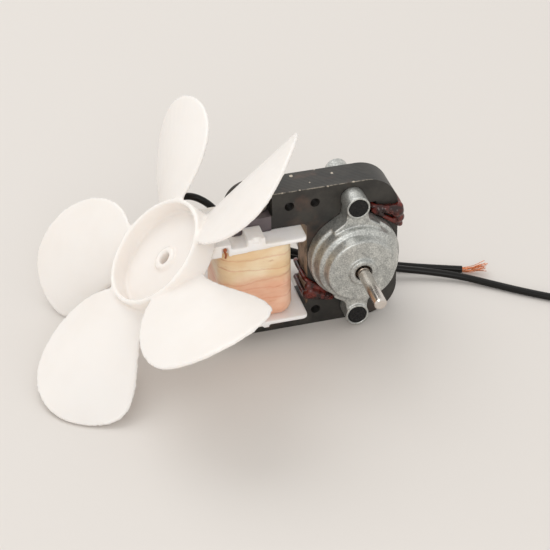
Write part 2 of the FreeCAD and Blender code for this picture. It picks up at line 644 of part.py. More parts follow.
# Ball shaped sintered bearing with its felt and spring washer, in one bracket.
def make_bearing(name, front):
    sign = -1 if front else 1
    turn = FreeCAD.Rotation(V(1, 0, 0), 180 if front else 0)
    start = "%d * stack_depth / 2" % sign
    middle = size("bearing_centre")
    half = size("bearing_length") / 2
    ball = size("bearing_radius")
    bore = size("shaft_radius") + size("running_gap")
    land = size("bearing_land")
    end = math.sqrt(ball ** 2 - (half - land) ** 2)
    belly = [V(end, middle - half + land, 0), V(end, middle + half - land, 0)]
    edges = [
        Part.LineSegment(V(bore, middle - half, 0), V(end, middle - half, 0)),
        Part.LineSegment(V(end, middle - half, 0), belly[0]),
        short_arc(V(0, middle, 0), *belly),
        Part.LineSegment(belly[1], V(end, middle + half, 0)),
        Part.LineSegment(V(end, middle + half, 0), V(bore, middle + half, 0)),
        Part.LineSegment(V(bore, middle + half, 0), V(bore, middle - half, 0)),
    ]
    body = doc.addObject("PartDesign::Body", name + "_bearing")
    sketch = sketch_in(body, name + "_bearing_profile", "XY", edges)
    solid = body.newObject("PartDesign::Revolution", name + "_bearing_turn")
    solid.Profile = sketch
    solid.ReferenceAxis = (sketch, ["V_Axis"])
    solid.Angle = 360
    keep(put(body, y=start, z="shaft_height", turn=turn), name + "_bearing")
    shelf = size("retainer_seat") + size("shelf_step")
    inner = ball + size("felt_bore_gap")
    outer = size("felt_radius")
    top = shelf + size("felt_thick")
    foot = shelf + size("joint_gap")
    felt = turned(name + "_felt", [(inner, foot, 0), (outer, foot, 0), (outer, top, 0),
                                   (inner, top, 0)])
    keep(put(felt, y=start, z="shaft_height", turn=turn), name + "_oil_felt")
    low = shelf - size("retainer_thick")
    rim = size("felt_radius") + size("retainer_rim")
    lip = size("shaft_radius") + size("retainer_lip")
    seat = middle - half - size("slight_gap")
    disc = turned(name + "_retainer", [(lip, seat - size("retainer_thick"), 0), (rim, low, 0),
                                       (rim, shelf, 0), (lip, seat, 0)])
    keep(put(disc, y=start, z="shaft_height", turn=turn), name + "_bearing_retainer")


# Squirrel cage rotor on its shaft, with a thrust washer at each side.
def make_rotor():
    length = "stack_depth"
    core = rod("rotor_blank", "rotor_radius", length, "0", "-stack_depth / 2", "shaft_height")
    bars = []
    ways = []
    count = int(size("bar_count"))
    for i in range(count):
        turn = 2 * math.pi * i / count
        x = "bar_circle * %.8f" % math.cos(turn)
        z = "shaft_height + bar_circle * %.8f" % math.sin(turn)
        ways.append(rod("bar_way_%d" % i, "bar_radius", "stack_depth + 2", x,
                        "-stack_depth / 2 - 1", z))
        bars.append(rod("bar_%d" % i, "bar_radius", "stack_depth + 2 * bar_run", x,
                        "-stack_depth / 2 - bar_run", z))
    ways.append(rod("rotor_shaft_way", "shaft_radius", "stack_depth + 2", "0",
                    "-stack_depth / 2 - 1", "shaft_height"))
    keep(cut("rotor_core", core, fuse("rotor_ways", ways)), "rotor_laminations")
    for side, start in (("front", "-stack_depth / 2 - ring_height"), ("rear", "stack_depth / 2")):
        disc = rod("ring_blank_" + side, "rotor_radius - ring_inset", "ring_height", "0", start,
                   "shaft_height")
        hole = rod("ring_hole_" + side, "ring_bore", "ring_height + 2", "0", start + " - 1",
                   "shaft_height")
        bars.append(cut("ring_" + side, disc, hole))
    keep(fuse("rotor_cage", bars), "rotor_cage")
    tip = size("shaft_reach") + size("stack_depth") / 2
    tail = size("stack_depth") / 2 + size("bearing_centre") + size("bearing_length") / 2
    tail += size("shaft_tail")
    radius = size("shaft_radius")
    chamfer = size("shaft_chamfer")
    groove = size("stack_depth") / 2 + size("bracket_face") + size("boss_rise")
    groove_end = groove + size("groove_width")
    neck = radius - size("groove_depth")
    shaft = turned("shaft", [(0, -tail, 0), (radius - chamfer, -tail, 0),
                             (radius, -tail + chamfer, 0), (radius, groove, 0),
                             (neck, groove, 0), (neck, groove_end, 0), (radius, groove_end, 0),
                             (radius, tip - chamfer, 0), (radius - chamfer, tip, 0), (0, tip, 0)])
    keep(put(shaft, z="shaft_height", turn=FreeCAD.Rotation(V(1, 0, 0), 180)), "shaft")
    for side, sign in (("front", -1), ("rear", 1)):
        start = "stack_depth / 2 + joint_gap"
        if sign < 0:
            start = "-stack_depth / 2 - washer_thick - joint_gap"
        disc = rod("washer_blank_" + side, "washer_radius", "washer_thick", "0", start,
                   "shaft_height")
        hole = rod("washer_hole_" + side, "shaft_radius + thread_gap", "washer_thick + 2", "0",
                   start + " - 1", "shaft_height")
        keep(cut("washer_" + side, disc, hole), side + "_thrust_washer")


# The two long screws that clamp both brackets to the frame, and the small screw at the corner.
def make_screws():
    pair = []
    for up in (1, -1):
        tag = "top" if up > 0 else "low"
        centre = "shaft_height + %d * ear_spacing / 2" % up
        start = "-stack_depth / 2 - ear_height + joint_gap"
        shank = rod("screw_shank_" + tag, "frame_screw_radius",
                    "stack_depth + 2 * ear_height - screw_short", "0", start, centre)
        head = rod("screw_head_" + tag, "head_radius", "head_height - joint_gap", "0", start,
                   centre)
        pair.append(fuse("frame_screw_" + tag, [shank, head]))
    group = doc.addObject("Part::Compound", "frame_screw_pair")
    group.Links = pair
    keep(group, "bracket_screws")
    face = "-stack_depth / 2 + pocket_depth"
    shank = rod("corner_shank", "screw_shank_radius - slight_gap", "stack_depth - pocket_depth",
                SCREW_X, face, SCREW_Z)
    head = rod("corner_head", "screw_head_radius", "screw_head_height", SCREW_X,
               face + " - screw_head_height", SCREW_Z)
    keep(fuse("corner_screw_solid", [shank, head]), "corner_screw")


def route_tube(points, radius, name):
    # A cord's path: straight runs joined by arcs as large as both runs allow.
    edges = []
    here = points[0]
    radii = []
    for i in range(1, len(points) - 1):
        before = points[i - 1] - points[i]
        after = points[i + 1] - points[i]
        short = min(before.Length, after.Length)
        before.normalize()
        after.normalize()
        turn = math.pi - before.getAngle(after)
        back = 0.45 * short
        bend = back / math.tan(turn / 2)
        radii.append(bend)
        first = points[i] + before * back
        last = points[i] + after * back
        bisector = (before + after).normalize()
        rise = bend / math.cos(turn / 2) - bend
        middle = points[i] + bisector * rise
        edges.append(Part.LineSegment(here, first).toShape())
        edges.append(Part.Arc(first, middle, last).toShape())
        here = last
    edges.append(Part.LineSegment(here, points[-1]).toShape())
    wire = Part.Wire(edges)
    tube = tube_along(wire, radius)
    length = wire.Length
    ratio = tube.Volume / (math.pi * radius ** 2 * length)
    print("%s length %.1f volume ratio %.4f" % (name, length, ratio))
    print("  radii " + " ".join("%.1f" % r for r in radii))
    return tube


# Route of each lead, from the coil's rear face round the back of the frame to the table.
LEAD_A = [(-43.0, 14.05, 35.0), (-43.0, 22.5, 35.0), (-46.5, 29.5, 38.5), (-53.5, 33.0, 41.5),
          (-60.5, 35.5, 38.0), (-62.5, 37.5, 30.0), (-59.0, 38.5, 21.0), (-51.0, 38.5, 14.0),
          (-40.0, 36.5, 10.5), (-27.0, 32.8, 8.8), (-12.0, 29.2, 7.2), (6.0, 25.0, 5.0),
          (25.8, 18.6, 2.4), (39.3, 14.0, 1.5), (51.2, 9.4, 1.5)]
LEAD_B = [(-36.0, 14.05, 30.0), (-36.0, 22.0, 30.0), (-34.0, 29.0, 24.5), (-27.0, 31.0, 17.0),
          (-14.0, 26.5, 11.0), (2.0, 21.0, 8.5), (14.0, 17.2, 6.0), (25.2, 13.6, 4.2),
          (37.7, 9.4, 3.0), (48.3, 4.2, 2.3), (59.0, -3.6, 1.6), (70.0, -12.6, 1.5),
          (81.0, -20.5, 1.5)]


def make_leads():
    for name, route in (("a", LEAD_A), ("b", LEAD_B)):
        points = [V(*p) for p in route]
        tube = route_tube(points, size("lead_radius"), "lead_" + name)
        keep(feature("lead_%s_tube" % name, tube), "lead_wire_" + name)
        along = (points[-1] - points[-2]).normalize()
        side = along.cross(V(0, 0, 1)).normalize()
        over = side.cross(along)
        strands = []
        ring = int(size("strand_count")) - 1
        for i in range(ring + 1):
            turn = 2 * math.pi * i / ring
            spread = 0 if i == ring else 1
            offset = (side * math.cos(turn) + over * math.sin(turn)) * spread
            start = points[-1] + offset * size("strand_pitch") + along * size("joint_gap")
            lift = max(math.sin(turn) * size("strand_lift"), -size("strand_sag"))
            flare = side * math.cos(turn) * size("strand_flare") + over * lift
            tip = points[-1] + along * size("strand_length") + flare * spread
            line = tip - start
            strands.append(Part.makeCylinder(size("strand_radius"), line.Length, start, line))
        keep(feature("strands_%s" % name, Part.makeCompound(strands)), "lead_strands_" + name)


# Moulded fan: a cup shaped hub with a bored boss and five broad swept blades.
def blade_height(x, y):
    turn = size("blade_twist") * (x - size("twist_middle")) / size("twist_span")
    bow = size("blade_camber") * y * y / size("camber_span")
    rise = size("blade_cone") * (x - size("root_radius"))
    return rise + y * size("blade_slope") * (1 + turn) + bow - size("blade_drop")


def make_blade():
    # The blade's curved sheet, trimmed by its outline and given its thickness.
    reach = size("blade_reach")
    root = size("root_radius")
    outline = [
        V(root, -size("root_lead")),
        V(size("lead_inner_radius"), -size("lead_inner_width")),
        V(size("lead_outer_radius"), -size("lead_outer_width")),
        V(reach - size("tip_setback"), -size("tip_lead_width")),
        V(reach, size("tip_trail_width")),
        V(size("trail_outer_radius"), size("trail_outer_width")),
        V(size("trail_inner_radius"), size("trail_inner_width")),
        V(root, size("root_trail")),
    ]
    rim = Part.BSplineCurve()
    rim.interpolate(outline)
    closing = Part.LineSegment(outline[-1], outline[0])
    prism = Part.Face(Part.Wire([rim.toShape(), closing.toShape()]))
    prism.translate(V(0, 0, -reach))
    prism = prism.extrude(V(0, 0, 2 * reach))
    start = size("patch_start")
    end = size("patch_end")
    grid = []
    for i in range(5):
        x = start + (end - start) * i / 4
        across = [size("patch_half") * (k - 2) / 2 for k in range(5)]
        grid.append([V(x, y, blade_height(x, y)) for y in across])
    surface = Part.BSplineSurface()
    surface.interpolate(grid)
    sheet_face = surface.toShape().common(prism).Faces[0]
    sheet_face.translate(V(0, 0, -size("blade_thick") / 2))
    return sheet_face.extrude(V(0, 0, size("blade_thick")))


def make_fan():
    radius = size("hub_radius")
    wall = size("hub_wall")
    depth = size("cup_depth")
    floor = size("floor_thick")
    low = -size("hub_height")
    rear = low - size("hub_boss_rear")
    boss = size("hub_boss_radius")
    hub = Part.makeCylinder(radius, -low, V(0, 0, low))
    blade = make_blade()
    blades = []
    count = int(size("blade_count"))
    for i in range(count):
        copy = blade.copy()
        copy.rotate(V(), V(0, 0, 1), size("fan_spin") - 360.0 * i / count)
        blades.append(copy)
    solid = hub.multiFuse(blades)
    solid = solid.cut(Part.makeCylinder(radius - wall, depth, V(0, 0, -depth)))
    skirt = depth + floor
    solid = solid.cut(Part.makeCylinder(radius - wall, radius, V(0, 0, -skirt - radius)))
    front = -depth + size("hub_boss_front")
    post = Part.makeCylinder(boss, front - rear, V(0, 0, rear))
    solid = solid.fuse(post)
    solid = solid.cut(Part.makeCylinder(size("hub_bore_radius"), 2 * -rear, V(0, 0, 1.5 * rear)))
    solid = solid.removeSplitter()
    lean = math.radians(size("fan_lean"))
    yaw = math.radians(size("fan_yaw"))
    axis = V(-math.cos(lean) * math.cos(yaw), -math.cos(lean) * math.sin(yaw), math.sin(lean))
    across = V(math.sin(yaw), -math.cos(yaw), 0)
    slope = axis.cross(across)
    edge = -size("stack_left") + size("core_width") / 2 - size("flange_outer")
    roof = size("stack_height") - size("upper_arm") - size("joint_gap")
    place = V(edge - size("fan_out"), -size("fan_side"), roof - size("fan_low"))
    made = feature("fan_solid", solid)
    made.Placement = FreeCAD.Placement(place, FreeCAD.Rotation(across, slope, axis, "ZXY"))
    keep(made, "fan")


make_frame()
make_core()
make_bobbin()
make_coil()
make_shading()
make_bracket("front_bracket", True)
make_bracket("rear_bracket", False)
make_bearing("front", True)
make_bearing("rear", False)
make_rotor()
make_screws()
make_leads()
make_fan()
doc.recompute()

for thing in doc.Objects:
    if "Invalid" in thing.State or "Error" in thing.State:
        raise RuntimeError("failed: %s %s" % (thing.Name, thing.State))
for thing in kept:
    if thing.Shape.isNull() or not thing.Shape.isValid():
        raise RuntimeError("bad shape: " + thing.Label)
for thing in kept:
    thing.Shape.exportStep("parts/%s.step" % thing.Label)
    print("%s solids %d volume %.1f" % (thing.Label, len(thing.Shape.Solids), thing.Shape.Volume))
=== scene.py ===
import math
import random

import bmesh
import bpy
from mathutils import Euler, Matrix, Vector, noise


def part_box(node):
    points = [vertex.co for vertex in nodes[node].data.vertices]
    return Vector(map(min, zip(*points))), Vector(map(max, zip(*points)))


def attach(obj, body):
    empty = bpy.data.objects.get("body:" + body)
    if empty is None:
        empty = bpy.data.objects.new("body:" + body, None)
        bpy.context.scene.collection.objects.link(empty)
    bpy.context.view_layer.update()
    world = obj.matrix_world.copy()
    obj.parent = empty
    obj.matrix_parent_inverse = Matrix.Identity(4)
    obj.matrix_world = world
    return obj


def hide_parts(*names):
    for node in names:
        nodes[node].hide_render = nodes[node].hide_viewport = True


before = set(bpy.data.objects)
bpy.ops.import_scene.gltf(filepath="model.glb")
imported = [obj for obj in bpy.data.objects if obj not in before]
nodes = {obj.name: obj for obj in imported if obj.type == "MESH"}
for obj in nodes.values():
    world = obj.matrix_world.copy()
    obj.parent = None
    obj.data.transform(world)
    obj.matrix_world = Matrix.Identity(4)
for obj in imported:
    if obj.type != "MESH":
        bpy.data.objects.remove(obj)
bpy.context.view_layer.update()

# Camera: a long lens that looks down on the motor from the front left of its shaft. Its place was
# fitted to the frame's edges, holes, screw ears and shaft, as the photograph shows them.
camera_place = Vector((-0.168744, -0.540760, 0.410848))
camera_turn = math.radians(14.558)
camera_dip = math.radians(34.922)
camera_roll = math.radians(1.104)
focal_pixels = 1796.97
image_side = 550
sensor_side = 36

camera_data = bpy.data.cameras.new("camera")
camera_data.sensor_width = sensor_side
camera_data.lens = focal_pixels / image_side * sensor_side
camera = bpy.data.objects.new("camera", camera_data)
bpy.context.scene.collection.objects.link(camera)
look = Euler((math.pi / 2 - camera_dip, 0, -camera_turn)).to_matrix().to_4x4()
camera.matrix_world = Matrix.Translation(camera_place) @ look @ Matrix.Rotation(-camera_roll, 4, "Z")
bpy.context.scene.camera = camera

# Leads: two flexible wires in soft black plastic that leave the back of the coil, go round behind
# the frame and run out over the table. Each ends in a short bare bunch of fine copper strands.
lead_radius = 0.0014
lead_routes = {
    "a": [(-43, 14.05, 35), (-43, 22.5, 35), (-46.5, 29.5, 38.5), (-53.5, 33, 41.5),
          (-60.5, 35.5, 38), (-62.5, 37.5, 30), (-59, 38.5, 21), (-51, 38.5, 14),
          (-40, 36.5, 10.5), (-27, 32.8, 8.8), (-12, 29.2, 7.2), (6, 25, 5),
          (25.8, 18.6, 2.4), (39.3, 14, 1.5), (51.2, 9.4, 1.5)],
    "b": [(-36, 14.05, 30), (-36, 22, 30), (-34, 29, 24.5), (-27, 31, 17),
          (-14, 26.5, 11), (2, 21, 8.5), (14, 17.2, 6), (25.2, 13.6, 4.2),
          (37.7, 9.4, 3), (48.3, 4.2, 2.3), (59, -3.6, 1.6), (70, -12.6, 1.5),
          (81, -20.5, 1.5)],
}
strand_count = 19
strand_radius = 0.00013
bunch_radius = 0.00085
bunch_length = 0.0100
strand_root = 0.0004
strand_turn = 2.4
shortest_strand = 0.82
side_flare = 2.6
top_flare = 1.9
strand_bend = 0.0010
strand_lift = (0.0004, 0.0022)
# A strand bends one way at a first share of its length and back at a second, where it has begun to
# flare and lift.
first_bend = 0.3
second_bend = 0.65
flare_begun = 0.6
lift_begun = 0.5


def linear(red, green, blue):
    # A paint colour given as it looks on a screen, from 0 to 255, as the light a shader works in.
    return tuple(((c / 255 + 0.055) / 1.055) ** 2.4 for c in (red, green, blue)) + (1.0,)


class Signal:
    """A shader socket that Python's operators work on. Each operator adds a Math node."""

    def __init__(self, finish, socket):
        self.finish = finish
        self.socket = socket

    def maths(self, operation, first, second):
        return self.finish.node("ShaderNodeMath", {"operation": operation}, {0: first, 1: second})

    def __add__(self, other):
        return self.maths("ADD", self, other)

    def __radd__(self, other):
        return self.maths("ADD", other, self)

    def __sub__(self, other):
        return self.maths("SUBTRACT", self, other)

    def __rsub__(self, other):
        return self.maths("SUBTRACT", other, self)

    def __mul__(self, other):
        return self.maths("MULTIPLY", self, other)

    def __rmul__(self, other):
        return self.maths("MULTIPLY", other, self)

    def __pow__(self, other):
        return self.maths("POWER", self, other)

    def __rpow__(self, other):
        return self.maths("POWER", other, self)


class Finish:
    """A material on the Principled shader, with its pattern laid in Object coordinates.

    The plain colour, roughness and metallic hold until a pattern is given to their sockets.
    """

    def __init__(self, name, colour, roughness, metallic=0.0, **constants):
        self.material = bpy.data.materials.new(name)
        self.material.use_nodes = True
        self.tree = self.material.node_tree
        self.shader = self.tree.nodes["Principled BSDF"]
        self.give("Base Color", colour)
        self.give("Roughness", roughness)
        self.give("Metallic", metallic)
        for socket, value in constants.items():
            self.give(socket.replace("_", " "), value)

    def give(self, socket, value):
        if isinstance(value, Signal):
            self.tree.links.new(value.socket, self.shader.inputs[socket])
        else:
            self.shader.inputs[socket].default_value = value

    def node(self, kind, settings, sockets, output=0):
        made = self.tree.nodes.new(kind)
        for name, value in settings.items():
            setattr(made, name, value)
        for key, value in sockets.items():
            if isinstance(value, Signal):
                self.tree.links.new(value.socket, made.inputs[key])
            else:
                made.inputs[key].default_value = value
        return Signal(self, made.outputs[output])

    def place(self):
        return self.node("ShaderNodeTexCoord", {}, {}, "Object")

    def noise(self, scale, detail=3.0, roughness=0.55, stretch=(1, 1, 1)):
        where = self.node("ShaderNodeMapping", {}, {"Vector": self.place(), "Scale": stretch})
        return self.node("ShaderNodeTexNoise", {}, {"Vector": where, "Scale": scale,
                                                    "Detail": detail, "Roughness": roughness})

    def between(self, value, low, high):
        # 0 below low, 1 above high and a smooth rise between them.
        return self.node("ShaderNodeMapRange", {"interpolation_type": "SMOOTHSTEP"},
                         {"Value": value, "From Min": low, "From Max": high})

    def blend(self, mask, first, second):
        # The first colour where the mask is 0 and the second where it is 1.
        return self.node("ShaderNodeMix", {"data_type": "RGBA"}, {0: mask, 6: first, 7: second}, 2)

    def parts(self, vector):
        # The x, y and z of a vector, each as a value.
        return [self.node("ShaderNodeSeparateXYZ", {}, {0: vector}, i) for i in range(3)]

    def facing(self):
        # The x, y and z of the surface's own direction.
        return self.parts(self.node("ShaderNodeNewGeometry", {}, {}, "Normal"))

    def most(self, first, second):
        return self.node("ShaderNodeMath", {"operation": "MAXIMUM"}, {0: first, 1: second})

    def near(self, spot, radius, ragged, scale):
        # 1 within a radius of a place and 0 outside it, with an edge that noise of a scale shifts.
        away = self.node("ShaderNodeVectorMath", {"operation": "DISTANCE"},
                         {0: self.place(), 1: spot}, "Value")
        away = away + (self.noise(scale) - 0.5) * ragged
        return 1 - self.between(away, radius * 0.75, radius)

    def bump(self, height, depth, strength):
        # Height from 0 to 1 as a relief of that depth in metres.
        self.give("Normal", self.node("ShaderNodeBump", {}, {"Height": height, "Distance": depth,
                                                             "Strength": strength}))


def metres(points):
    # Points that are written in millimetres, as Blender needs them.
    return [Vector(point) / 1000 for point in points]


def spline(name, runs, radius, finish, roundness=4, steps=12):
    # Round wires, each on one smooth curve through its own control points.
    data = bpy.data.curves.new(name, "CURVE")
    data.dimensions = "3D"
    data.bevel_depth = radius
    data.bevel_resolution = roundness
    data.use_fill_caps = True
    data.resolution_u = steps
    for run in runs:
        line = data.splines.new("NURBS")
        line.points.add(len(run) - 1)
        for point, place in zip(line.points, run):
            point.co = (*place, 1)
        line.order_u = 3
        line.use_endpoint_u = True
    made = bpy.data.objects.new(name, data)
    bpy.context.scene.collection.objects.link(made)
    data.materials.append(finish.material)
    return made


black_plastic = Finish("lead insulation", linear(17, 15, 13), roughness=0.34, Specular_IOR_Level=0.25)
black_plastic.bump(black_plastic.noise(500), depth=0.00005, strength=0.4)
bare_copper = Finish("bare copper", linear(222, 146, 104), roughness=0.24, metallic=0.85)

for lead, route in lead_routes.items():
    points = metres(route)
    wire = spline("lead_" + lead, [points], lead_radius, black_plastic)
    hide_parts("lead_wire_" + lead)
    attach(wire, "motor")
    along = (points[-1] - points[-2]).normalized()
    across = along.cross(Vector((0, 0, 1))).normalized()
    rise = across.cross(along)
    chance = random.Random(lead)
    strands = []
    for i in range(strand_count):
        turn = i * strand_turn
        out = bunch_radius * math.sqrt(i / strand_count)
        start = points[-1] + (across * math.cos(turn) + rise * math.sin(turn)) * out
        flare = across * math.cos(turn) * side_flare + rise * abs(math.sin(turn)) * top_flare
        reach = bunch_length * chance.uniform(shortest_strand, 1.0)
        bend = across * chance.uniform(-strand_bend, strand_bend)
        lift = rise * chance.uniform(*strand_lift)
        strands.append([
            start - along * strand_root,
            start + along * reach * first_bend + bend,
            start + along * reach * second_bend + flare * out * flare_begun - bend + lift * lift_begun,
            start + along * reach + flare * out + lift,
        ])
    bunch = spline("lead_end_" + lead, strands, strand_radius, bare_copper, roundness=1, steps=4)
    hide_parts("lead_strands_" + lead)
    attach(bunch, "motor")

# Stator laminations: about twenty five sheets of punched electrical steel, riveted into one C shaped
# stack and dipped in black enamel. A painted highlight lies along the front top edge as a thin broken
# line of bright steel, a few grains of enamel are gone from the top, and the window's wall that faces
# the coil has patches of painted light in tan.
stack_low, stack_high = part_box("stator_laminations")
stack_front = stack_low.y
stack_top = stack_high.z
# The painted highlight along the front top edge: where it starts, its fade, its widths and its raggedness.
highlight_from = -0.0330
highlight_fade = 0.004
highlight_narrow = 0.00012
highlight_wide = 0.00034
highlight_ragged = 0.0007
chips = [(-0.0204, 0.0042, stack_top, 0.00075), (-0.0053, 0.0018, stack_top, 0.00065),
         (0.0006, stack_front, stack_top, 0.0005), (-0.0150, -0.0020, stack_top, 0.00035),
         (-0.0093, stack_front, stack_top, 0.0004), (-0.0199, stack_front, stack_top, 0.0004),
         (-0.0267, stack_front, stack_top, 0.0004), (-0.0110, 0.0060, stack_top, 0.0004)]
chip_ragged = 0.0011
window_wall = -0.0174
wall_full = 0.0003
wall_end = 0.0008
line_pitch = 0.000987
enamel_black = linear(36, 34, 31)
enamel_grey = linear(58, 55, 50)
rust_brown = linear(92, 68, 56)
# Tan painted light for the window wall that faces the coil.
wall_light_tan = linear(176, 154, 130)
# Bright steel for the painted highlight along the front top edge and for the real chips in the enamel.
highlight_and_chip_steel = linear(196, 186, 170)


def dress(finish, *things):
    for thing in things:
        thing.data.materials.clear()
        thing.data.materials.append(finish.material)


enamel = Finish("black enamel", linear(64, 62, 58), roughness=0.42)
grime = enamel.noise(110, detail=5.0, roughness=0.65)
across, depth, height = enamel.parts(enamel.place())
edge_depth = (depth - stack_front) * (depth - stack_front)
edge_height = (height - stack_top) * (height - stack_top)
from_edge = (edge_depth + edge_height) ** 0.5 + (enamel.noise(1100) - 0.5) * highlight_ragged
# Painted highlight: a thin broken line of bright steel along the front top edge.
edge_highlight = 1 - enamel.between(from_edge, highlight_narrow, highlight_wide)
broken = enamel.between(enamel.noise(330), 0.42, 0.58)
# The bright steel mask holds the painted edge highlight and the real chips where the enamel is gone.
bare = edge_highlight * broken * enamel.between(across, highlight_from, highlight_from + highlight_fade) * 0.55
for x, y, z, radius in chips:
    bare = enamel.most(bare, enamel.near((x, y, z), radius, chip_ragged, 1300))
dull = enamel.blend(enamel.between(grime, 0.35, 0.7), enamel_black, enamel_grey)
rusty = enamel.blend(enamel.between(enamel.noise(75, detail=4.0), 0.56, 0.72) * 0.55, dull, rust_brown)
# Painted light: the window wall that faces the coil is painted in lighter tan patches.
normal_x, normal_y, _ = enamel.facing()
past_left = enamel.between(across, window_wall - wall_end, window_wall - wall_full)
past_right = enamel.between(across, window_wall + wall_full, window_wall + wall_end)
on_wall = past_left * (1 - past_right) * (normal_x * normal_x)
# The mask of the tan painted light on the window wall.
scale = on_wall * enamel.between(enamel.noise(260, detail=4.0), 0.25, 0.6)
wall_lit_enamel = enamel.blend(scale, rusty, wall_light_tan)
enamel.give("Base Color", enamel.blend(bare, wall_lit_enamel, highlight_and_chip_steel))
enamel.give("Metallic", bare * 0.6)
enamel.give("Roughness", 0.34 + grime * 0.24)
# The wave repeats after a tenth of pi at a scale of 1.
sheets = enamel.node("ShaderNodeTexWave", {"bands_direction": "Y"},
                     {"Vector": enamel.place(), "Scale": math.pi / 10 / line_pitch,
                      "Distortion": 0.4, "Detail": 1.0})
edge_on = 1 - enamel.between(normal_y * normal_y, 0.3, 0.7)
enamel.bump(sheets * edge_on * 0.5 + enamel.noise(900, detail=4.0) * 0.8, depth=0.00012, strength=0.6)
dress(enamel, nodes["stator_laminations"])

# Coil core: a separate bar of laminations pushed through the bobbin and pressed into the frame's arms.
# It has only a thin dull varnish.
varnish_dark = linear(82, 74, 78)
varnish_pale = linear(122, 112, 114)
varnish = Finish("core varnish", linear(96, 88, 92), roughness=0.42, metallic=0.15)
varnish.give("Base Color", varnish.blend(varnish.noise(220, detail=4.0), varnish_dark, varnish_pale))
varnish.bump(varnish.noise(700), depth=0.0001, strength=0.5)
dress(varnish, nodes["coil_core_laminations"])

# Bobbin: one white nylon moulding with two flanges, a terminal tab, a slotted rib and two prongs.
# Nylon is milky, so light goes a little way into its edges.
bobbin_voxel = 0.0004
bobbin_smoothing = 2
milky_reach = (1.0, 0.92, 0.85)
nylon_white = linear(252, 248, 246)
nylon_cream = linear(243, 236, 228)


def settle(thing):
    # The modifiers of a piece become part of its own mesh.
    ready = thing.evaluated_get(bpy.context.evaluated_depsgraph_get())
    thing.data = bpy.data.meshes.new_from_object(ready)
    thing.modifiers.clear()


def melted(name, sources, voxel, smoothing, lump=0, grain=1, drops=()):
    # A new piece made of copies of CAD meshes: merged, remeshed as one skin with soft edges, and
    # swollen here and there by about a lump. Drops are balls of the same stuff, as place and radius.
    merge_distance = 1e-6
    mean_swelling = 0.35
    mesh = bpy.data.meshes.new(name)
    shape = bmesh.new()
    for source in sources:
        shape.from_mesh(nodes[source].data)
    bmesh.ops.remove_doubles(shape, verts=shape.verts[:], dist=merge_distance)
    for x, y, z, radius in drops:
        bmesh.ops.create_icosphere(shape, subdivisions=3, radius=radius,
                                   matrix=Matrix.Translation((x, y, z)))
    shape.to_mesh(mesh)
    shape.free()
    made = bpy.data.objects.new(name, mesh)
    bpy.context.scene.collection.objects.link(made)
    skin = made.modifiers.new("skin", "REMESH")
    skin.mode = "VOXEL"
    skin.voxel_size = voxel
    settle(made)
    shape = bmesh.new()
    shape.from_mesh(made.data)
    for _ in range(smoothing):
        bmesh.ops.smooth_vert(shape, verts=shape.verts[:], factor=0.5, use_axis_x=True,
                              use_axis_y=True, use_axis_z=True)
    if lump:
        shape.normal_update()
        for vert in shape.verts:
            vert.co += vert.normal * lump * (noise.noise(vert.co * grain) + mean_swelling)
    for face in shape.faces:
        face.smooth = True
    shape.to_mesh(made.data)
    shape.free()
    return made


nylon = Finish("white nylon", linear(242, 236, 231), roughness=0.36, Subsurface_Weight=0.4,
               Subsurface_Scale=0.002, Subsurface_Radius=milky_reach)
nylon.give("Base Color", nylon.blend(nylon.between(nylon.noise(90), 0.4, 0.75), nylon_white, nylon_cream))
nylon.bump(nylon.noise(400), depth=0.0001, strength=0.3)
bobbin = melted("bobbin_moulding", ["coil_bobbin"], bobbin_voxel, bobbin_smoothing)
dress(nylon, bobbin)
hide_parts("coil_bobbin")
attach(bobbin, "motor")

# Winding: many turns of fine enamelled copper wire inside the tape. One end comes up through the
# slot in the bobbin's rib and is twisted into a small knob.
wire_end_radius = 0.0004
wire_end_places = [(-50.5, -14.3, 42.3), (-50.3, -14.9, 43.6), (-50.6, -15.1, 44.9),
                   (-51.1, -15.0, 45.9), (-50.7, -14.8, 46.6), (-50.2, -14.9, 46.2),
                   (-50.5, -15.2, 45.7)]
magnet_wire = Finish("magnet wire", linear(164, 88, 48), roughness=0.28, metallic=0.35)
magnet_wire.bump(magnet_wire.noise(900), depth=0.0001, strength=0.4)
dress(magnet_wire, nodes["coil_winding"])
wire_end = spline("winding_end", [metres(wire_end_places)], wire_end_radius, magnet_wire)
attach(wire_end, "motor")

# Coil tape: thin yellow film tape wound tight over the wire. It darkens to salmon pink lower down,
# where varnish has soaked in, and long creases run round it where the turns overlap, each drawn with
# a thin red line of painted shade.
tape_change = 0.0300
change_below = 0.005
change_above = 0.004
change_waver = 0.012
tape_low, tape_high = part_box("coil_tape_wrap")
coil_middle = (tape_low.x + tape_high.x) / 2
# Each crease has its height at the coil's middle, its slope and its width.
creases = [(0.0296, 0.090, 0.00040), (0.0262, -0.015, 0.00030), (0.0395, 0.030, 0.00030),
           (0.0208, 0.050, 0.00035), (0.0345, -0.040, 0.00025)]
crease_waver = 0.0052
yellow_dark = linear(238, 204, 160)
yellow_pale = linear(250, 230, 196)
pink_dark = linear(238, 180, 148)
pink_pale = linear(248, 204, 176)
stain_brown = linear(186, 116, 80)
# Painted shade in the creases.
crease_shade_red = linear(214, 120, 92)

